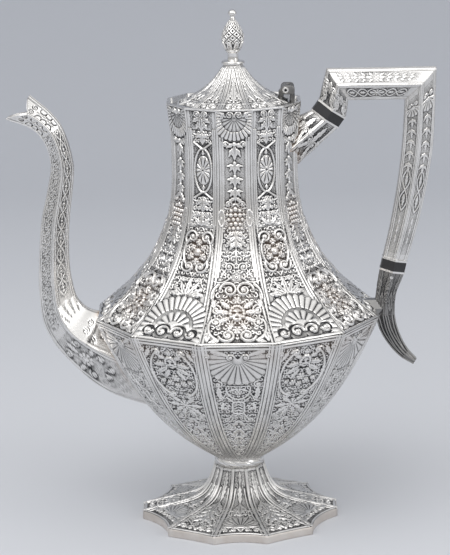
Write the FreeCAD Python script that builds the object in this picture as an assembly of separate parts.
"""Twelve-panelled coffee pot: pear body, scalloped foot, six-sided spout, insulated handle and hinged lid.

Millimetres. +Z is up, the origin is on the pot's axis in the plane it stands on, +X points at the handle.
"""

import FreeCAD, Part

import math
import os

from FreeCAD import Vector

# Foot and collar
PANEL_COUNT = 12
FOOT_RIM_RADIUS = 50.8
FOOT_RIM_HEIGHT = 4.4
FOOT_RIM_WIDTH = 3.2
FOOT_SCALLOP = 3.4
FOOT_FLAT_SCALLOP = 0.6
FOOT_SIDE_LEAN = 9.5
FOOT_SIDE_POWER = 6
FOOT_HEIGHT = 28.0
FOOT_TOP_RADIUS = 12.7
FOOT_SLOPE_SHARE = 0.38
FOOT_STEM_POWER = 10.0
COLLAR_HEIGHT = 4.8
COLLAR_RADIUS = 12.9
COLLAR_BORE = 8.5
COLLAR_BULGE = 0.9
FOOT_TOP_DIP_SHARE = 0.04

# Body, lower bowl and upper shoulder
BODY_WALL = 1.2
BOWL_FLOOR_APOTHEM = 12.3
BOWL_HEIGHT = 76.0
BOWL_CONE_SHARE = 0.5
BOWL_ROUND_POWER = 2.7
BELLY_APOTHEM = 70.3
SHOULDER_HEIGHT = 108.7
SHOULDER_POWER = 2.75
NECK_DROP = 27.5
NECK_APOTHEM = 31.0
RIM_APOTHEM = 33.0
RIM_FLARE_POWER = 1.8
LEDGE_DROP = 2.5
LEDGE_THICKNESS = 1.6
MOUTH_APOTHEM = 25.8

# Relief of the body's panels: two designs that take turns round the pot, alike on both sides of their
# middle line. Places are (out from the middle line, down from the panel's top edge).
RELIEF_COLUMN_COUNT = 16
RELIEF_ROW_PITCH = 2.3
SPLINE_DEGREE = 3
SPLINE_GAIN = 1.35
FRAME_WIDTH = 2.4
FRAME_HEIGHT = 0.4
# Mounds: place, half width, half length, height
SHOULDER_A_MOUNDS = [
    ((0.0, 21.0), 2.6, 4.5, 0.6),
    ((0.0, 29.0), 1.9, 2.6, 0.5),
    ((0.0, 35.6), 1.9, 2.6, 0.5),
    ((0.0, 41.6), 1.9, 2.6, 0.5),
    ((0.0, 54.0), 4.6, 6.4, 0.9),
    ((0.0, 64.5), 3.8, 4.6, 0.55),
    ((3.6, 79.2), 2.4, 2.6, 0.6),
    ((3.3, 91.0), 4.2, 4.4, 0.85),
    ((10.4, 101.0), 3.2, 5.0, 0.8),
    ((10.8, 110.0), 3.2, 4.2, 0.8),
    ((4.6, 116.6), 4.2, 3.6, 0.8),
    ((0.0, 104.4), 3.2, 4.4, 1.1),
]
SHOULDER_B_MOUNDS = [
    ((0.0, 8.0), 3.4, 4.6, 0.65),
    ((0.0, 31.0), 3.0, 8.4, 0.5),
    ((0.0, 55.0), 3.0, 4.8, 0.55),
    ((4.3, 64.0), 3.4, 3.8, 0.85),
    ((3.8, 79.0), 3.4, 3.8, 0.85),
    ((0.0, 71.6), 2.4, 3.4, 1.0),
    ((5.7, 117.4), 2.9, 2.9, 1.3),
]
BOWL_A_MOUNDS = [
    ((4.3, 6.4), 2.3, 2.3, 0.65),
    ((10.8, 28.0), 2.6, 8.5, 0.6),
    ((0.0, 31.5), 2.4, 4.6, 0.5),
]
BOWL_B_MOUNDS = [
    ((0.0, 14.6), 3.2, 4.2, 1.1),
    ((9.0, 11.0), 4.0, 5.0, 0.7),
    ((7.6, 27.2), 4.0, 4.6, 0.7),
    ((0.0, 24.0), 2.6, 2.6, 0.75),
]
# Rings: place of the centre, half width, half length, height
SHOULDER_B_RINGS = [((0.0, 31.0), 4.3, 11.2, 0.6)]
BOWL_A_RINGS = [((0.0, 50.5), 3.2, 7.2, 0.5)]
RING_BAND = 1.3
# Shells: place of the hinge, 1 when the shell hangs down from it and -1 when it stands up, length, flutes, height
SHOULDER_A_SHELLS = [((0.0, 4.2), 1, 10.2, 5, 0.7)]
SHOULDER_B_SHELLS = [((0.0, 95.6), -1, 11.0, 5, 0.55), ((0.0, 118.6), -1, 23.0, 11, 0.95)]
BOWL_A_SHELLS = [((0.0, 6.8), 1, 19.0, 9, 0.8)]
BOWL_B_SHELLS = [((0.0, 32.6), 1, 19.0, 7, 0.5)]
SHELL_SQUASH = 0.3

# Strainer holes in the bowl, behind the spout
STRAINER_HOLE_RADIUS = 1.8
STRAINER_PITCH = 6.5
STRAINER_ROW_COUNT = 5
STRAINER_DROP = 17.0

# Spout: each station is the outer edge, then the inner edge, then the depth along Y.
# Edges are (out from the belly panel, up from the belly).
SPOUT_WALL = 1.2
SPOUT_SECTION_COUNT = 27
SPOUT_LIP_COUNT = 4
SPOUT_FLAT = 2.0
SPOUT_STATIONS = [
    ((-40.0, -53.0), (-40.0, -5.0), 34.0),
    ((-4.3, -41.0), (-18.3, -1.5), 33.6),
    ((17.2, -22.1), (2.2, 0.9), 26.0),
    ((27.0, -6.5), (10.2, 7.0), 20.0),
    ((29.5, 11.5), (13.4, 17.7), 17.0),
    ((29.1, 28.1), (14.4, 30.5), 15.4),
    ((27.1, 48.8), (13.5, 48.6), 14.2),
    ((23.6, 64.2), (11.5, 64.0), 13.0),
    ((21.6, 77.0), (10.6, 76.8), 12.2),
    ((24.3, 88.3), (14.7, 93.5), 11.8),
    ((30.6, 95.9), (20.9, 102.8), 12.4),
    ((43.4, 101.0), (31.5, 112.2), 13.0),
]

# Lid and its flange
LID_SEAT_GAP = 0.25
LID_LAP = 2.2
LID_EDGE = 0.8
LID_WALL = 1.2
LID_RISE = 19.3
LID_CONE_SHARE = 0.55
LID_POWER = 3.5
LID_CROWN_APOTHEM = 4.6
FLANGE_CLEARANCE = 1.3
FLANGE_WALL = 1.1
FLANGE_DEPTH = 4.5

# Hinge
HINGE_INSET = 7.1
HINGE_LIFT = 5.3
HINGE_RADIUS = 2.2
HINGE_LENGTH = 14.0
HINGE_KNUCKLE = 4.8
HINGE_GAP = 0.3
HINGE_PIN_RADIUS = 0.9
HINGE_PIN_CLEARANCE = 0.05
HINGE_PIN_HEAD = 0.6
HINGE_PLATE = 2.0
HINGE_ARM = 2.4
HINGE_ROUND = 1.8

# Finial: revolved pieces stacked on the lid's crown
FINIAL_DISC_RADIUS = 5.9
FINIAL_DISC_HEIGHT = 2.0
FINIAL_STEM_RADIUS = 3.1
FINIAL_STEM_HEIGHT = 5.4
FINIAL_RING_RADIUS = 3.9
FINIAL_CALYX_RADIUS = 5.7
FINIAL_CALYX_HEIGHT = 4.4
FINIAL_CALYX_WALL = 0.9
FINIAL_CONE_RADIUS = 6.2
FINIAL_CONE_HEIGHT = 13.8
FINIAL_CONE_TIP = 1.5
FINIAL_BUD_RADIUS = 2.2
FINIAL_BUD_HEIGHT = 5.1
STUD_RADIUS = 1.4
STUD_LENGTH = 9.4
WASHER_RADIUS = 3.2
WASHER_THICKNESS = 0.6
NUT_RADIUS = 2.9
NUT_HEIGHT = 1.8

# Handle: six-sided hollow pieces
HANDLE_WALL = 1.1
HANDLE_FLAT = 2.4
HANDLE_DEPTH = 14.6
BAR_HEIGHT = 15.3
BAR_RISE = 14.6
BAR_NEAR = 15.8
BAR_FAR = 70.1
ELBOW_MITRE = 10.2
UPPER_INSULATOR_OUT = 16.3
UPPER_INSULATOR_DROP = 7.7
UPPER_INSULATOR_ANGLE = 54.2
UPPER_INSULATOR_WIDTH = 15.2
LOWER_INSULATOR_OUT = 9.5
LOWER_INSULATOR_LIFT = 23.0
LOWER_INSULATOR_ANGLE = 257.0
LOWER_INSULATOR_WIDTH = 11.7
LOWER_INSULATOR_DEPTH = 11.2
INSULATOR_BAND = 5.0
FERRULE_THICKNESS = 1.0
FERRULE_OVERHANG = 0.6
TENON_LENGTH = 5.0
TENON_CLEARANCE = 1.0
PIN_RADIUS = 0.8
GRIP_STATION_COUNT = 5
SOCKET_ROOT_HEIGHT = 25.0
SOCKET_ROOT_DROP = 28.0
SOCKET_ROOT_DEPTH = 32.0
SOCKET_ROOT_SINK = 8.4
SOCKET_KNEE_LOW = (8.6, 2.5)
SOCKET_KNEE_HIGH = (2.6, 19.0)
SOCKET_KNEE_DEPTH = 19.8
LOWER_SOCKET_WIDTH = 9.2
LOWER_SOCKET_DEPTH = 9.4
LOWER_SOCKET_LENGTH = 21.0
LOWER_SOCKET_LEAN = 3.6
LOWER_SOCKET_BOW = 0.6
TAIL_DROP = 25.2
TAIL_REACH = 15.3
TAIL_TIP = 2.6
TAIL_STATION_COUNT = 4
STRUT_LIFT = 0.8
STRUT_HEIGHT = 8.6
STRUT_DEPTH = 8.4

# Heights that follow from the sizes above
BOWL_FLOOR = FOOT_HEIGHT + COLLAR_HEIGHT
BELLY = BOWL_FLOOR + BOWL_HEIGHT
RIM = BELLY + SHOULDER_HEIGHT
NECK = RIM - NECK_DROP
LEDGE_TOP = RIM - LEDGE_DROP
LID_SEAT = LEDGE_TOP + LID_SEAT_GAP
LID_CROWN = LID_SEAT + LID_EDGE + LID_RISE
LID_APOTHEM = MOUTH_APOTHEM + LID_LAP
FLANGE_APOTHEM = MOUTH_APOTHEM - FLANGE_CLEARANCE
HINGE_X = RIM_APOTHEM - HINGE_INSET
HINGE_Z = RIM + HINGE_LIFT

SHARES = [i / 9 for i in range(10)]
FINE_COUNT = 200


def panel_points(apothem, height):
    """Corners of the twelve-sided ring; its flats face the spout, the handle and both sides."""
    step = 2 * math.pi / PANEL_COUNT
    radius = apothem / math.cos(step / 2)
    turns = [(k + 0.5) * step for k in range(PANEL_COUNT)]
    return [Vector(radius * math.cos(t), radius * math.sin(t), height) for t in turns]


def closed_wire(points):
    return Part.makePolygon(points + points[:1])


def panel_prism(apothem, bottom, height):
    return Part.Face(closed_wire(panel_points(apothem, bottom))).extrude(Vector(0, 0, height))


def panel_ring(outer, inner, bottom, height):
    return panel_prism(outer, bottom, height).cut(panel_prism(inner, bottom, height))


def panel_loft(stations):
    return Part.makeLoft([closed_wire(panel_points(a, z)) for a, z in stations], True)


def inset(stations, wall):
    """The same levels, moved in until the wall is that thick square to the surface."""
    moved = []
    for i, (apothem, height) in enumerate(stations):
        before = stations[max(i - 1, 0)]
        after = stations[min(i + 1, len(stations) - 1)]
        slope = (after[0] - before[0]) / (after[1] - before[1])
        moved.append((apothem - wall * math.hypot(1, slope), height))
    return moved


def revolve(outline):
    """A solid of revolution about the pot's axis from (radius, height) points."""
    points = [Vector(r, 0, z) for r, z in outline]
    return Part.Face(closed_wire(points)).revolve(Vector(0, 0, 0), Vector(0, 0, 1), 360)


def cylinder_y(radius, x, z, start, length):
    return Part.makeCylinder(radius, length, Vector(x, start, z), Vector(0, 1, 0))


# Body

def bowl_point(share):
    rise = BOWL_CONE_SHARE * share + (1 - BOWL_CONE_SHARE) * share**BOWL_ROUND_POWER
    return (BOWL_FLOOR_APOTHEM + (BELLY_APOTHEM - BOWL_FLOOR_APOTHEM) * share, BOWL_FLOOR + BOWL_HEIGHT * rise)


def bowl_stations():
    return [bowl_point(share) for share in [0.0, 0.05] + SHARES[2:]]


def fine_bowl_line():
    """Points close together from the belly down to the collar."""
    return [bowl_point(1 - k / FINE_COUNT) for k in range(FINE_COUNT + 1)]


def shoulder_apothem(height):
    if height < NECK:
        share = (NECK - height) / (NECK - BELLY)
        return NECK_APOTHEM + (BELLY_APOTHEM - NECK_APOTHEM) * share**SHOULDER_POWER
    share = (height - NECK) / (RIM - NECK)
    return NECK_APOTHEM + (RIM_APOTHEM - NECK_APOTHEM) * share**RIM_FLARE_POWER


def shoulder_stations():
    return [(shoulder_apothem(z), z) for z in (BELLY + (RIM - BELLY) * s for s in SHARES)]


def fine_shoulder_line():
    """Points close together from the rim down to the belly."""
    heights = [RIM - (RIM - BELLY) * k / FINE_COUNT for k in range(FINE_COUNT + 1)]
    return [(shoulder_apothem(z), z) for z in heights]


def mound_level(across, down, mounds):
    level = 0.0
    for (x, s), half_width, half_length, height in mounds:
        room = 1 - ((across - x) / half_width) ** 2 - ((down - s) / half_length) ** 2
        if room > 0:
            level = max(level, height * math.sqrt(room))
    return level


def ring_level(across, down, rings):
    level = 0.0
    for (x, s), half_width, half_length, height in rings:
        reach = math.hypot((across - x) / half_width, (down - s) / half_length)
        room = 1 - ((reach - 1) * half_width / RING_BAND) ** 2
        if room > 0:
            level = max(level, height * math.sqrt(room))
    return level


def shell_level(across, down, shells):
    """Fluted half rounds, drawn in towards their hinge line."""
    level = 0.0
    for (x, s), way, length, flutes, height in shells:
        turn = math.atan2(across - x, way * (down - s)) / (math.pi / 2)
        reach = math.hypot(across - x, down - s) / (length * (1 - SHELL_SQUASH * turn**2))
        if abs(turn) < 1 and reach < 1:
            flute = abs(math.cos(math.pi * flutes * turn / 2))
            level = max(level, height * (0.4 + 0.6 * flute * reach) * math.sqrt(1 - reach**8))
    return level


class PanelRelief:
    """How far a panel's poles are raised: a frame along its edges, then mounds, rings and shells.

    The spline stays below its poles, so the forms inside the frame are drawn higher by SPLINE_GAIN.
    """

    def __init__(self, mounds, rings, shells):
        self.mounds = mounds
        self.rings = rings
        self.shells = shells

    def level(self, across, down, half_width):
        across = abs(across)
        if half_width - across < FRAME_WIDTH:
            return FRAME_HEIGHT
        level = max(
            mound_level(across, down, self.mounds),
            ring_level(across, down, self.rings),
            shell_level(across, down, self.shells),
        )
        return SPLINE_GAIN * level


def even_rows(stations, pitch):
    """(apothem, height, distance from the first) about a pitch apart along the line through the stations."""
    travel = [0.0]
    for before, after in zip(stations, stations[1:]):
        travel.append(travel[-1] + math.dist(before, after))
    count = round(travel[-1] / pitch)
    rows = []
    for k in range(count + 1):
        at = travel[-1] * k / count
        i = max(j for j in range(len(travel) - 1) if travel[j] <= at)
        share = (at - travel[i]) / (travel[i + 1] - travel[i])
        (a0, z0), (a1, z1) = stations[i], stations[i + 1]
        rows.append((a0 + (a1 - a0) * share, z0 + (z1 - z0) * share, at))
    return rows


def spline_knots(count, degree):
    """Knots and their multiplicities for a spline that ends on its first and last poles."""
    knots = list(range(count - degree + 1))
    return knots, [degree + 1] + [1] * (len(knots) - 2) + [degree + 1]


def chased_panels(stations, designs):
    """The twelve panels with their relief, each one spline surface; stations run down from the top edge."""
    rows = even_rows(stations, RELIEF_ROW_PITCH)
    step = 2 * math.pi / PANEL_COUNT
    row_knots, row_turns = spline_knots(len(rows), SPLINE_DEGREE)
    column_knots, column_turns = spline_knots(RELIEF_COLUMN_COUNT + 1, SPLINE_DEGREE)
    panels = []
    for panel, design in enumerate(designs):
        radial = Vector(math.cos(panel * step), math.sin(panel * step), 0)
        tangent = Vector(-math.sin(panel * step), math.cos(panel * step), 0)
        poles = []
        for i, (apothem, height, down) in enumerate(rows):
            before, after = rows[max(i - 1, 0)], rows[min(i + 1, len(rows) - 1)]
            run, drop = after[0] - before[0], before[1] - after[1]
            slant = math.hypot(run, drop)
            at_end = i in (0, len(rows) - 1)
            half_width = apothem * math.tan(step / 2)
            line = []
            for column in range(RELIEF_COLUMN_COUNT + 1):
                share = 2 * column / RELIEF_COLUMN_COUNT - 1
                level = FRAME_HEIGHT if at_end else design.level(share * half_width, down, half_width)
                out = level if at_end else level * drop / slant
                up = 0 if at_end else level * run / slant
                wide = share * (half_width + out * math.tan(step / 2))
                line.append(radial * (apothem + out) + tangent * wide + Vector(0, 0, height + up))
            poles.append(line)
        surface = Part.BSplineSurface()
        surface.buildFromPolesMultsKnots(
            poles, row_turns, column_turns, row_knots, column_knots, False, False, SPLINE_DEGREE, SPLINE_DEGREE
        )
        panels.append(surface.toShape())
    return panels


def sewn_solid(faces):
    shape = Part.makeCompound(faces)
    shape.sewShape()
    solid = Part.makeSolid(shape.Shells[0])
    if solid.Volume < 0:
        solid.reverse()
    return solid


def level_face(apothem, height, hole_apothem=0.0):
    outline = closed_wire(panel_points(apothem, height))
    if not hole_apothem:
        return Part.Face(outline)
    hole = closed_wire(panel_points(hole_apothem, height))
    return Part.makeFace([outline, hole], "Part::FaceMakerBullseye")


def wall_faces(solid):
    """The sides of a loft, without its two level ends."""
    return [face for face in solid.Faces if abs(face.normalAt(0.5, 0.5).z) < 0.999]


def strainer_holes():
    """Drills along X, in offset rows, through the bowl's panel behind the spout."""
    drills = []
    row_pitch = STRAINER_PITCH * math.sqrt(3) / 2
    for row in range(STRAINER_ROW_COUNT):
        height = BELLY - STRAINER_DROP + (row - (STRAINER_ROW_COUNT - 1) / 2) * row_pitch
        columns = [-0.5, 0.5] if row % 2 else [-1, 0, 1]
        for column in columns:
            start = Vector(-BELLY_APOTHEM, column * STRAINER_PITCH, height)
            drills.append(Part.makeCylinder(STRAINER_HOLE_RADIUS, BELLY_APOTHEM / 2, start, Vector(1, 0, 0)))
    return drills


def body_pieces():
    bowl_inner = inset(bowl_stations(), BODY_WALL)
    shoulder_inner = inset(shoulder_stations(), BODY_WALL)
    bowl_hollow = panel_loft(bowl_inner[1:])
    shoulder_hollow = panel_loft(shoulder_inner)
    bowl_designs = [
        PanelRelief(BOWL_B_MOUNDS, [], BOWL_B_SHELLS),
        PanelRelief(BOWL_A_MOUNDS, BOWL_A_RINGS, BOWL_A_SHELLS),
    ] * (PANEL_COUNT // 2)
    bowl_designs[PANEL_COUNT // 2] = PanelRelief([], [], [])
    shoulder_designs = [
        PanelRelief(SHOULDER_B_MOUNDS, SHOULDER_B_RINGS, SHOULDER_B_SHELLS),
        PanelRelief(SHOULDER_A_MOUNDS, [], SHOULDER_A_SHELLS),
    ] * (PANEL_COUNT // 2)
    bowl_panels = chased_panels(fine_bowl_line(), bowl_designs)
    shoulder_panels = chased_panels(fine_shoulder_line(), shoulder_designs)
    floor_face = level_face(BOWL_FLOOR_APOTHEM + FRAME_HEIGHT, BOWL_FLOOR)
    belly, rim = BELLY_APOTHEM + FRAME_HEIGHT, RIM_APOTHEM + FRAME_HEIGHT
    bowl_solid = sewn_solid(bowl_panels + [floor_face, level_face(belly, BELLY)])
    shoulder_solid = sewn_solid(shoulder_panels + [level_face(belly, BELLY), level_face(rim, RIM)])
    bowl_shell = sewn_solid(
        bowl_panels + wall_faces(bowl_hollow)
        + [floor_face, level_face(*bowl_inner[1]), level_face(belly, BELLY, bowl_inner[-1][0])]
    )
    shoulder_shell = sewn_solid(
        shoulder_panels + wall_faces(shoulder_hollow)
        + [level_face(belly, BELLY, shoulder_inner[0][0]), level_face(rim, RIM, shoulder_inner[-1][0])]
    )
    ledge_blank = panel_ring(RIM_APOTHEM, MOUTH_APOTHEM, LEDGE_TOP - LEDGE_THICKNESS, LEDGE_THICKNESS)
    pieces = {
        "bowl_shell": bowl_shell.cut(strainer_holes()),
        "shoulder_shell": shoulder_shell,
        "rim_ledge": ledge_blank.common(shoulder_hollow),
    }
    return pieces, [bowl_solid, shoulder_solid]


# Foot

def foot_cusps(radius, spread, height):
    """Twelve cusps, even at the collar (spread 0); on the rim (spread 1) some lean to the spout or the handle."""
    cusps = []
    for i in range(PANEL_COUNT):
        even = math.pi * (2 * i - 1) / PANEL_COUNT
        lean = math.radians(FOOT_SIDE_LEAN) * spread * abs(math.cos(even)) ** FOOT_SIDE_POWER
        turn = even - math.copysign(lean, math.sin(2 * even))
        cusps.append(Vector(radius * math.cos(turn), radius * math.sin(turn), height))
    return cusps


def scallop_wire(radius, spread, depth_share, height):
    """Twelve arcs between cusps, by turns nearly flat and hollow, each dipping in from its chord."""
    cusps = foot_cusps(radius, spread, height)
    axis_point = Vector(0, 0, height)
    arcs = []
    for i, cusp in enumerate(cusps):
        following = cusps[(i + 1) % PANEL_COUNT]
        dip = depth_share * (FOOT_SCALLOP if i % 2 else FOOT_FLAT_SCALLOP)
        outward = (cusp + following) * 0.5 - axis_point
        middle = axis_point + outward * (1 - dip / outward.Length)
        arcs.append(Part.Arc(cusp, middle, following).toShape())
    return Part.Wire(arcs)


def foot_stations():
    """(cusp radius, spread, share of the scallop's depth, height) from the rim band up to the collar."""
    stations = []
    for share in (s**2 for s in reversed(SHARES)):
        rise = FOOT_SLOPE_SHARE * (1 - share) + (1 - FOOT_SLOPE_SHARE) * (1 - share) ** FOOT_STEM_POWER
        radius = FOOT_TOP_RADIUS + (FOOT_RIM_RADIUS - FOOT_TOP_RADIUS) * share
        depth_share = FOOT_TOP_DIP_SHARE + (1 - FOOT_TOP_DIP_SHARE) * share**2
        height = FOOT_RIM_HEIGHT + (FOOT_HEIGHT - FOOT_RIM_HEIGHT) * rise
        stations.append((radius, share, depth_share, height))
    return stations


def foot_loft(wall):
    """The flared foot, or the hollow under it, which lies that far below the skin square to it."""
    stations = foot_stations()
    wires = []
    for i, (radius, spread, depth_share, height) in enumerate(stations):
        before = stations[max(i - 1, 0)]
        after = stations[min(i + 1, len(stations) - 1)]
        run, rise = before[0] - after[0], after[3] - before[3]
        slant = math.hypot(run, rise)
        lower = 0 if after is stations[i] else wall * run / slant
        wires.append(scallop_wire(radius - wall * rise / slant, spread, depth_share, height - lower))
    return Part.makeLoft(wires, True)


def foot_pieces():
    band_out = Part.Face(scallop_wire(FOOT_RIM_RADIUS, 1, 1, 0))
    band_in = Part.Face(scallop_wire(FOOT_RIM_RADIUS - FOOT_RIM_WIDTH, 1, 1, 0))
    up = Vector(0, 0, FOOT_RIM_HEIGHT)
    edge = COLLAR_RADIUS - COLLAR_BULGE
    outline = [
        (COLLAR_BORE, FOOT_HEIGHT),
        (edge, FOOT_HEIGHT),
        (COLLAR_RADIUS, FOOT_HEIGHT + 0.25 * COLLAR_HEIGHT),
        (COLLAR_RADIUS, FOOT_HEIGHT + 0.75 * COLLAR_HEIGHT),
        (edge, BOWL_FLOOR),
        (COLLAR_BORE, BOWL_FLOOR),
    ]
    return {
        "foot_rim": band_out.extrude(up).cut(band_in.extrude(up)),
        "foot_shell": foot_loft(0).cut(foot_loft(BODY_WALL)),
        "foot_collar": revolve(outline),
    }


# Six-sided tubes for the spout and the handle

def hexagon(one_edge, other_edge, depth, flat, wall=0.0):
    """Section between two edge points (x, z), ridged at mid height; wall moves all six sides in."""
    (x0, z0), (x1, z1) = one_edge, other_edge
    half = math.dist(one_edge, other_edge) / 2
    lean = depth / 2 - flat
    slant = math.hypot(half, lean)
    ridge = depth / 2 - wall * slant / half
    corner = flat - wall * (slant - lean) / half
    along = Vector(x1 - x0, 0, z1 - z0) / (2 * half)
    across = Vector(0, 1, 0)
    centre = Vector(x0 + x1, 0, z0 + z1) / 2
    top = along * (half - wall)
    offsets = [
        top + across * corner,
        across * ridge,
        across * corner - top,
        across * -corner - top,
        across * -ridge,
        top - across * corner,
    ]
    return closed_wire([centre + offset for offset in offsets])


def resample(stations, count):
    """Evenly spaced stations on a smooth curve through the given ones."""
    rows = [(*a, *b, depth) for a, b, depth in stations]
    middles = [((r[0] + r[2]) / 2, (r[1] + r[3]) / 2) for r in rows]
    travel = [0.0]
    for before, after in zip(middles, middles[1:]):
        travel.append(travel[-1] + math.dist(before, after))

    def slope(i, column):
        low, high = max(i - 1, 0), min(i + 1, len(rows) - 1)
        return (rows[high][column] - rows[low][column]) / (travel[high] - travel[low])

    even = []
    for k in range(count):
        at = travel[-1] * k / (count - 1)
        i = max(j for j in range(len(rows) - 1) if travel[j] <= at)
        span = travel[i + 1] - travel[i]
        t = (at - travel[i]) / span
        row = []
        for column in range(5):
            start, end = rows[i][column], rows[i + 1][column]
            bend = t * (1 - t) ** 2 * slope(i, column) - t**2 * (1 - t) * slope(i + 1, column)
            row.append(start + (end - start) * t**2 * (3 - 2 * t) + bend * span)
        even.append(((row[0], row[1]), (row[2], row[3]), row[4]))
    return even


def hex_loft(stations, flat, wall=0.0):
    return Part.makeLoft([hexagon(a, b, depth, flat, wall) for a, b, depth in stations], True)


def hex_tube(stations, flat, wall):
    return hex_loft(stations, flat).cut(hex_loft(stations, flat, wall))


def spout_pieces(body_solids):
    def placed(point):
        return (-BELLY_APOTHEM - point[0], BELLY + point[1])

    stations = [(placed(a), placed(b), depth) for a, b, depth in SPOUT_STATIONS]
    stations = resample(stations, SPOUT_SECTION_COUNT)
    tube = hex_tube(stations[: 1 - SPOUT_LIP_COUNT], SPOUT_FLAT, SPOUT_WALL)
    lip = hex_tube(stations[-SPOUT_LIP_COUNT:], SPOUT_FLAT, SPOUT_WALL)
    return {"spout_tube": tube.cut(body_solids), "spout_lip": lip}


# Handle

class Insulator:
    """A dark band between two ferrules, with its tenons, on an axis in the XZ plane."""

    def __init__(self, x, z, angle, width, depth):
        self.centre = (x, z)
        self.axis = (math.cos(math.radians(angle)), math.sin(math.radians(angle)))
        self.width = width
        self.depth = depth

    def station(self, along, width, depth):
        """The section that far along the axis from the centre, right-hand edge first."""
        x = self.centre[0] + self.axis[0] * along
        z = self.centre[1] + self.axis[1] * along
        side = (self.axis[1] * width / 2, -self.axis[0] * width / 2)
        return ((x + side[0], z + side[1]), (x - side[0], z - side[1]), depth)

    def face(self, end):
        """Where a tube meets the ferrule: end is -1 before the band and 1 after it."""
        return self.station(end * (INSULATOR_BAND / 2 + FERRULE_THICKNESS), self.width, self.depth)

    def prism(self, start, stop, grow, flat):
        """A straight six-sided block between two places on the axis, grown outward on every side."""
        ends = [self.station(s, self.width, self.depth) for s in (start, stop)]
        return Part.makeLoft([hexagon(a, b, d, flat, -grow) for a, b, d in ends], True)

    def tenon(self, flat):
        reach = INSULATOR_BAND / 2 + FERRULE_THICKNESS + TENON_LENGTH
        return self.prism(-reach, reach, -HANDLE_WALL - TENON_CLEARANCE, flat)

    def body(self, flat):
        half = INSULATOR_BAND / 2
        return self.prism(-half, half, FERRULE_OVERHANG / 2, flat).fuse(self.tenon(flat)).removeSplitter()

    def ferrule(self, end, flat):
        near = end * INSULATOR_BAND / 2
        plate = self.prism(near, near + end * FERRULE_THICKNESS, FERRULE_OVERHANG, flat)
        return plate.cut(self.tenon(flat))

    def pin(self, end):
        """Cross pin through a tube's two ridges and the tenon inside it."""
        along = end * (INSULATOR_BAND / 2 + FERRULE_THICKNESS + TENON_LENGTH / 2)
        x = self.centre[0] + self.axis[0] * along
        z = self.centre[1] + self.axis[1] * along
        return cylinder_y(PIN_RADIUS, x, z, -self.depth / 2, self.depth)


def largest(shape):
    return max(shape.Solids, key=lambda solid: solid.Volume)


def left_and_right(station):
    """A station with its edges the other way round."""
    return (station[1], station[0], station[2])


def grip_stations(top, bottom):
    """Stations from the mitred corner down to the lower insulator, sweeping in and narrowing as they drop."""
    def middle(station):
        return [(p + q) / 2 for p, q in zip(station[0], station[1])]

    (x0, z0), (x1, z1) = middle(top), middle(bottom)
    width1 = math.dist(bottom[0], bottom[1])
    stations = [top]
    for i in range(1, GRIP_STATION_COUNT):
        share = 0.15 + 0.85 * i / GRIP_STATION_COUNT
        x = x0 + (x1 - x0) * share**2
        z = z0 + (z1 - z0) * share
        lean = math.atan2(2 * (x1 - x0) * share, z1 - z0)
        half = (BAR_HEIGHT + (width1 - BAR_HEIGHT) * share**2) / 2
        side = (-half * math.cos(lean), half * math.sin(lean))
        depth = top[2] + (bottom[2] - top[2]) * share
        stations.append(((x + side[0], z + side[1]), (x - side[0], z - side[1]), depth))
    return stations + [bottom]


def tail_stations(root):
    """Stations of the solid horn below the lower socket, curling out to its tip."""
    stations = [root]
    (xr, zr), (xl, zl), depth = root
    width = math.dist(root[0], root[1])
    for i in range(1, TAIL_STATION_COUNT + 1):
        share = i / TAIL_STATION_COUNT
        x = (xr + xl) / 2 + TAIL_REACH * share**1.5
        z = (zr + zl) / 2 - TAIL_DROP * (share - 0.18 * share**3) / 0.82
        lean = math.radians(60) * share
        half = (width + (TAIL_TIP - width) * share**1.3) / 2
        side = (half * math.cos(lean), half * math.sin(lean))
        deep = depth + (TAIL_TIP - depth) * share
        stations.append(((x + side[0], z + side[1]), (x - side[0], z - side[1]), deep))
    return stations


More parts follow.
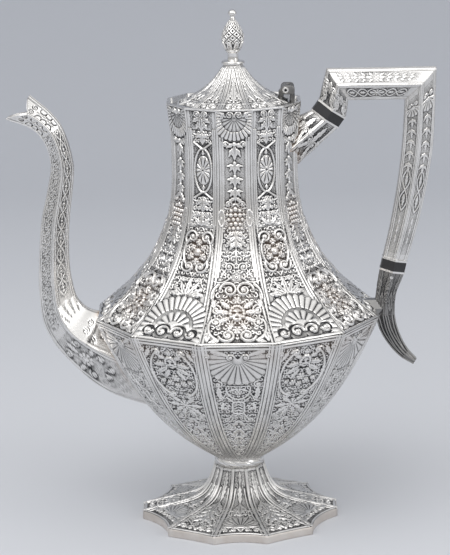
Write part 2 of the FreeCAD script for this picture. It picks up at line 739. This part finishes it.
def handle_pieces(body_solids):
    upper = Insulator(
        NECK_APOTHEM + UPPER_INSULATOR_OUT,
        RIM - UPPER_INSULATOR_DROP,
        UPPER_INSULATOR_ANGLE,
        UPPER_INSULATOR_WIDTH,
        HANDLE_DEPTH,
    )
    lower = Insulator(
        BELLY_APOTHEM + LOWER_INSULATOR_OUT,
        BELLY + LOWER_INSULATOR_LIFT,
        LOWER_INSULATOR_ANGLE,
        LOWER_INSULATOR_WIDTH,
        LOWER_INSULATOR_DEPTH,
    )
    bar_top = RIM + BAR_RISE
    bar_bottom = bar_top - BAR_HEIGHT
    near, far = NECK_APOTHEM + BAR_NEAR, NECK_APOTHEM + BAR_FAR
    near_mitre = ((near + ELBOW_MITRE, bar_bottom), (near, bar_top), HANDLE_DEPTH)
    far_mitre = ((far, bar_top), (far - BAR_HEIGHT, bar_bottom), HANDLE_DEPTH)

    root_z = RIM - SOCKET_ROOT_DROP

    def on_neck(out, up):
        return (NECK_APOTHEM + out, root_z + up)

    root = (
        on_neck(-SOCKET_ROOT_SINK, -SOCKET_ROOT_HEIGHT / 2),
        on_neck(-SOCKET_ROOT_SINK, SOCKET_ROOT_HEIGHT / 2),
        SOCKET_ROOT_DEPTH,
    )
    knee = (on_neck(*SOCKET_KNEE_LOW), on_neck(*SOCKET_KNEE_HIGH), SOCKET_KNEE_DEPTH)
    upper_socket = hex_tube([root, knee, upper.face(-1)], HANDLE_FLAT, HANDLE_WALL).cut(body_solids)
    elbow = hex_tube([upper.face(1), near_mitre], HANDLE_FLAT, HANDLE_WALL)
    bar = hex_tube([near_mitre, left_and_right(far_mitre)], HANDLE_FLAT, HANDLE_WALL)
    grip_end = left_and_right(lower.face(-1))
    grip = hex_tube(grip_stations(far_mitre, grip_end), HANDLE_FLAT, HANDLE_WALL)

    socket_top = left_and_right(lower.face(1))
    foot_x = (socket_top[0][0] + socket_top[1][0]) / 2 - LOWER_SOCKET_LEAN
    foot_z = socket_top[0][1] - LOWER_SOCKET_LENGTH
    half = LOWER_SOCKET_WIDTH / 2
    socket_foot = ((foot_x + half, foot_z), (foot_x - half, foot_z), LOWER_SOCKET_DEPTH)
    mid_x = foot_x + LOWER_SOCKET_BOW
    mid_z = foot_z + LOWER_SOCKET_LENGTH / 2
    socket_mid = ((mid_x + half, mid_z), (mid_x - half, mid_z), LOWER_SOCKET_DEPTH + LOWER_SOCKET_BOW)
    socket_stations = [socket_top, socket_mid, socket_foot]
    socket_solid = hex_loft(socket_stations, HANDLE_FLAT)
    lower_socket = hex_tube(socket_stations, HANDLE_FLAT, HANDLE_WALL)
    tail = hex_loft(tail_stations(socket_foot), TAIL_TIP / 3)

    strut_edges = [(x, BELLY + STRUT_LIFT) for x in (BELLY_APOTHEM / 2, foot_x)]
    strut = hex_strut(strut_edges).cut(body_solids + [socket_solid, tail])

    pins = {-1: [], 1: []}
    for insulator in (upper, lower):
        for end in pins:
            pins[end].append(insulator.pin(end))
    drills = pins[-1] + pins[1]
    pieces = {
        "upper_socket": upper_socket.cut(drills),
        "upper_socket_ferrule": upper.ferrule(-1, HANDLE_FLAT),
        "upper_insulator": largest(upper.body(HANDLE_FLAT).cut(drills + [elbow, upper_socket])),
        "elbow_ferrule": upper.ferrule(1, HANDLE_FLAT),
        "handle_elbow": elbow.cut(drills),
        "handle_bar": bar,
        "handle_grip": grip.cut(drills),
        "grip_ferrule": lower.ferrule(-1, HANDLE_FLAT),
        "lower_insulator": largest(lower.body(HANDLE_FLAT).cut(drills + [grip, lower_socket])),
        "lower_socket_ferrule": lower.ferrule(1, HANDLE_FLAT),
        "lower_socket": lower_socket.cut(drills),
        "handle_tail": tail,
        "handle_strut": strut,
        "insulator_pins": Part.makeCompound(drills),
    }
    return pieces


def hex_strut(edges):
    """A level six-sided bar along X between two places."""
    wires = []
    for x, z in edges:
        low, high = (x, z - STRUT_HEIGHT / 2), (x, z + STRUT_HEIGHT / 2)
        wires.append(hexagon(low, high, STRUT_DEPTH, HANDLE_FLAT))
    return Part.makeLoft(wires, True)


# Lid, hinge and finial

def lid_height(apothem):
    inward = (LID_APOTHEM - apothem) / (LID_APOTHEM - LID_CROWN_APOTHEM)
    rise = LID_CONE_SHARE * inward + (1 - LID_CONE_SHARE) * inward**LID_POWER
    return LID_SEAT + LID_EDGE + LID_RISE * rise


def lid_underside(apothem):
    span = LID_APOTHEM - LID_CROWN_APOTHEM
    inward = (LID_APOTHEM - apothem) / span
    slope = LID_CONE_SHARE + (1 - LID_CONE_SHARE) * LID_POWER * inward ** (LID_POWER - 1)
    return lid_height(apothem) - LID_WALL * math.hypot(1, slope * LID_RISE / span)


def lid_stations():
    apothems = [LID_CROWN_APOTHEM + (LID_APOTHEM - LID_CROWN_APOTHEM) * s for s in reversed(SHARES)]
    return [(a, lid_height(a)) for a in apothems]


def brim_inner_apothem():
    """Where the hollow under the lid meets its flat brim."""
    low, high = LID_CROWN_APOTHEM, LID_APOTHEM
    for _ in range(60):
        middle = (low + high) / 2
        low, high = (low, middle) if lid_underside(middle) < LID_SEAT else (middle, high)
    return low


def lid_heel():
    """What is taken off the brim behind the hinge pin, so that it does not dip as the lid turns."""
    reach = HINGE_Z - LID_SEAT
    block = Part.makeBox(LID_APOTHEM, 2 * LID_APOTHEM, reach, Vector(HINGE_X, -LID_APOTHEM, LID_SEAT))
    return block.cut(cylinder_y(reach, HINGE_X, HINGE_Z, -LID_APOTHEM, 2 * LID_APOTHEM))


def lid_pieces():
    edge = panel_prism(LID_APOTHEM, LID_SEAT, LID_EDGE)
    lid_solid = edge.fuse(panel_loft(lid_stations())).removeSplitter()
    brim = brim_inner_apothem()
    ceiling = LID_CROWN - LID_WALL
    hollow = []
    for share in SHARES[:-1]:
        apothem = brim + (LID_CROWN_APOTHEM - brim) * share
        hollow.append((apothem, max(lid_underside(apothem), LID_SEAT)))
    hollow = [station for station in hollow if station[1] < ceiling]
    hollow.append((LID_CROWN_APOTHEM - LID_WALL / 2, ceiling))
    stud_hole = Part.makeCylinder(STUD_RADIUS, 2 * LID_RISE, Vector(0, 0, LID_SEAT))
    lid_shell = lid_solid.cut([panel_loft(hollow), stud_hole, lid_heel()])
    flange_bottom = LID_SEAT - FLANGE_DEPTH
    flange_inner = FLANGE_APOTHEM - FLANGE_WALL
    flange_top = lid_underside(flange_inner) + LID_WALL / 2
    flange = panel_ring(FLANGE_APOTHEM, flange_inner, flange_bottom, flange_top - flange_bottom)
    return {"lid_shell": lid_shell, "lid_flange": flange.cut(lid_shell)}, lid_solid


def hinge_pieces(lid_solid):
    half = HINGE_LENGTH / 2
    inner_half = HINGE_KNUCKLE / 2
    bore = cylinder_y(HINGE_PIN_RADIUS, HINGE_X, HINGE_Z, -half, HINGE_LENGTH)
    plate_x = HINGE_X + HINGE_RADIUS + HINGE_GAP
    plate = Part.makeBox(
        HINGE_PLATE, HINGE_LENGTH, HINGE_Z + HINGE_RADIUS - LEDGE_TOP, Vector(plate_x, -half, LEDGE_TOP)
    )
    outer_x = plate_x + HINGE_PLATE
    top_edges = [
        edge for edge in plate.Edges
        if edge.CenterOfMass.x > outer_x - 0.1 and edge.CenterOfMass.z > HINGE_Z + HINGE_RADIUS - 0.1
    ]
    side = half - inner_half - HINGE_GAP
    body_leaf = plate.makeFillet(HINGE_ROUND, top_edges)
    for start in (-half, half - side):
        web = Part.makeBox(
            plate_x - HINGE_X, side, 2 * HINGE_RADIUS, Vector(HINGE_X, start, HINGE_Z - HINGE_RADIUS)
        )
        body_leaf = body_leaf.fuse([cylinder_y(HINGE_RADIUS, HINGE_X, HINGE_Z, start, side), web])
    arm_foot = LID_SEAT + LID_EDGE / 2
    arm_corner = Vector(HINGE_X - HINGE_RADIUS - HINGE_ARM / 2, -inner_half, arm_foot)
    arm = Part.makeBox(HINGE_ARM, HINGE_KNUCKLE, HINGE_Z - arm_foot, arm_corner)
    knuckle = cylinder_y(HINGE_RADIUS, HINGE_X, HINGE_Z, -inner_half, HINGE_KNUCKLE)
    lid_bore = cylinder_y(HINGE_PIN_RADIUS + HINGE_PIN_CLEARANCE, HINGE_X, HINGE_Z, -half, HINGE_LENGTH)
    head_radius = (HINGE_PIN_RADIUS + HINGE_RADIUS) / 2
    pin = bore
    for start in (-half - HINGE_PIN_HEAD, half):
        pin = pin.fuse(cylinder_y(head_radius, HINGE_X, HINGE_Z, start, HINGE_PIN_HEAD))
    return {
        "hinge_body_leaf": body_leaf.removeSplitter().cut(bore),
        "hinge_lid_leaf": arm.fuse(knuckle).removeSplitter().cut([lid_bore, lid_solid]),
        "hinge_pin": pin.removeSplitter(),
    }


def finial_pieces():
    disc_top = LID_CROWN + FINIAL_DISC_HEIGHT
    stem_top = disc_top + FINIAL_STEM_HEIGHT
    calyx_top = stem_top + FINIAL_CALYX_HEIGHT
    cone_bottom = stem_top + FINIAL_CALYX_WALL
    cone_top = cone_bottom + FINIAL_CONE_HEIGHT
    stud_bottom = LID_CROWN - LID_WALL - WASHER_THICKNESS - NUT_HEIGHT
    stud_top = stud_bottom + STUD_LENGTH
    washer_bottom = stud_bottom + NUT_HEIGHT

    disc = revolve([
        (0, LID_CROWN),
        (0.85 * FINIAL_DISC_RADIUS, LID_CROWN),
        (FINIAL_DISC_RADIUS, LID_CROWN + 0.35 * FINIAL_DISC_HEIGHT),
        (FINIAL_DISC_RADIUS, LID_CROWN + 0.65 * FINIAL_DISC_HEIGHT),
        (FINIAL_STEM_RADIUS, disc_top),
        (0, disc_top),
    ])
    waist = 0.8 * FINIAL_STEM_RADIUS
    stem = revolve([
        (0, disc_top),
        (FINIAL_STEM_RADIUS, disc_top),
        (waist, disc_top + 0.45 * FINIAL_STEM_HEIGHT),
        (FINIAL_STEM_RADIUS, disc_top + 0.75 * FINIAL_STEM_HEIGHT),
        (FINIAL_RING_RADIUS, disc_top + 0.85 * FINIAL_STEM_HEIGHT),
        (FINIAL_RING_RADIUS, stem_top),
        (0, stem_top),
    ])
    cone = revolve(cone_outline(cone_bottom, cone_top))
    calyx = revolve([
        (0, stem_top),
        (0.6 * FINIAL_CALYX_RADIUS, stem_top),
        (0.9 * FINIAL_CALYX_RADIUS, stem_top + 0.35 * FINIAL_CALYX_HEIGHT),
        (FINIAL_CALYX_RADIUS, calyx_top),
        (0, calyx_top),
    ]).cut(cone)
    bud = revolve([
        (0, cone_top),
        (FINIAL_CONE_TIP, cone_top),
        (0.5 * FINIAL_BUD_RADIUS, cone_top + 0.3 * FINIAL_BUD_HEIGHT),
        (FINIAL_BUD_RADIUS, cone_top + 0.55 * FINIAL_BUD_HEIGHT),
        (0.8 * FINIAL_BUD_RADIUS, cone_top + 0.85 * FINIAL_BUD_HEIGHT),
        (0, cone_top + FINIAL_BUD_HEIGHT),
    ])
    stud = Part.makeCylinder(STUD_RADIUS, STUD_LENGTH, Vector(0, 0, stud_bottom))
    corners = [math.radians(60 * k) for k in range(6)]
    nut_wire = closed_wire([
        Vector(NUT_RADIUS * math.cos(t), NUT_RADIUS * math.sin(t), stud_bottom) for t in corners
    ])
    nut = Part.Face(nut_wire).extrude(Vector(0, 0, NUT_HEIGHT)).cut(stud)
    washer = Part.makeCylinder(WASHER_RADIUS, WASHER_THICKNESS, Vector(0, 0, washer_bottom)).cut(stud)
    return {
        "finial_disc": disc.cut(stud),
        "finial_stem": stem.cut(stud),
        "finial_calyx": calyx.cut(stud) if stud_top > stem_top else calyx,
        "finial_cone": cone,
        "finial_bud": bud,
        "finial_stud": stud,
        "finial_washer": washer,
        "finial_nut": nut,
    }


def cone_outline(bottom, top):
    """Egg-shaped outline: widest a quarter of the way up, drawn in to the tip."""
    outline = [(0, bottom)]
    for i in range(13):
        share = i / 12
        swell = math.sin(math.pi * share**0.62) ** 0.8
        radius = FINIAL_CONE_TIP * share + (FINIAL_CONE_RADIUS - FINIAL_CONE_TIP / 2) * swell
        outline.append((max(radius, FINIAL_CONE_TIP), bottom + (top - bottom) * share))
    return outline + [(0, top)]


def main():
    os.makedirs("parts", exist_ok=True)
    body, body_solids = body_pieces()
    lid, lid_solid = lid_pieces()
    nodes = dict(body)
    nodes.update(foot_pieces())
    nodes.update(spout_pieces(body_solids))
    nodes.update(handle_pieces(body_solids))
    nodes.update(lid)
    nodes.update(hinge_pieces(lid_solid))
    nodes.update(finial_pieces())
    for name, shape in nodes.items():
        shape.exportStep(f"parts/{name}.step")
        print(f"{name:22s} solids {len(shape.Solids)} valid {shape.isValid()} volume {shape.Volume:9.1f}")


main()
